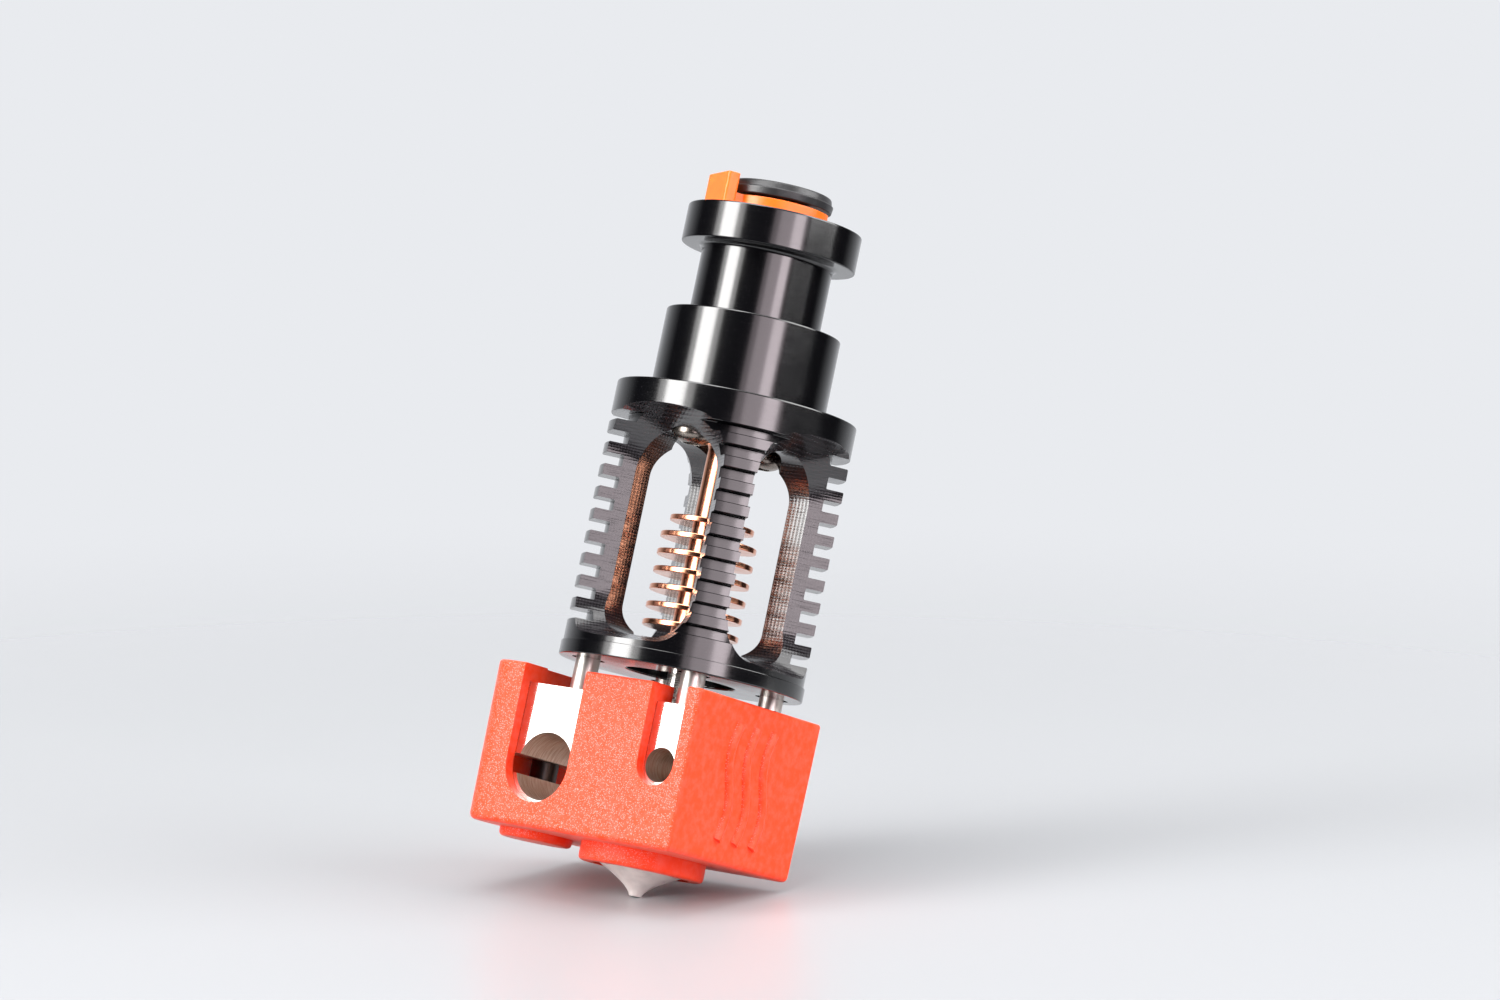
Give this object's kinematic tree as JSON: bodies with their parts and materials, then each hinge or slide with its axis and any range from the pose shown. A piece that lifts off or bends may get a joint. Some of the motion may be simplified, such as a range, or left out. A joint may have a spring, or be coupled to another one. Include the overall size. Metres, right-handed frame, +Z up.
{
  "type": "hotend assembly",
  "caption": "Groove-mount 3-D printer hot end: round windowed heat sink with cooling teeth, finned heat break, heater block in a soft sock, nozzle and push-fit collet with clip.",
  "frame": {"origin": "centre of the nozzle's tip", "axes": "+Z up the filament path to the collet, -Y out of the mouths of the heater and sensor bores, +X towards the plain end of the sock"},
  "size_m": [0.0256, 0.0222, 0.0653],
  "materials": {
    "black_anodised": "gloss black anodised, turned",
    "copper": "polished copper",
    "throat_steel": "turned",
    "stainless_screw": "bright",
    "post_steel": "polished",
    "nickel_plate": "mirror nickel plate",
    "black_steel_screw": "black oxide",
    "hardened_steel": "turned, grey brown",
    "red_silicone": "soft satin",
    "brass": "turned",
    "black_plastic": "moulded",
    "spring_steel": "stamped",
    "orange_plastic": "moulded"
  },
  "bodies": {
    "sink": {"heat_sink": "black_anodised", "heat_break": "copper", "heat_break_throat": "throat_steel", "clamp_screw_front": "stainless_screw", "clamp_screw_rear": "stainless_screw", "standoff_post_front_left": "post_steel", "standoff_post_front_right": "post_steel", "standoff_post_rear_left": "post_steel", "standoff_post_rear_right": "post_steel", "heater_block": "nickel_plate", "heater_clamp_screw": "black_steel_screw", "sensor_grub_screw": "black_steel_screw", "silicone_sock": "red_silicone", "collet_seat": "brass"},
    "nozzle": {"nozzle": "hardened_steel"},
    "collet": {"collet": "black_plastic", "collet_tooth_front_left": "spring_steel", "collet_tooth_front_right": "spring_steel", "collet_tooth_rear_left": "spring_steel", "collet_tooth_rear_right": "spring_steel"},
    "clip": {"collet_clip": "orange_plastic"}
  },
  "joints": [
    {"name": "nozzle_turn", "type": "hinge", "parent": "sink", "child": "nozzle", "pos_m": [0, 0, 0.006], "axis": [0, 0, 1], "range_deg": [0, 360]},
    {"name": "collet_press", "type": "slide", "parent": "sink", "child": "collet", "axis": [0, 0, -1], "range_m": [0, 0.0002]},
    {"name": "clip_pull", "type": "slide", "parent": "sink", "child": "clip", "axis": [-0.5225, -0.8526, 0], "range_m": [0, 0.014]}
  ]
}
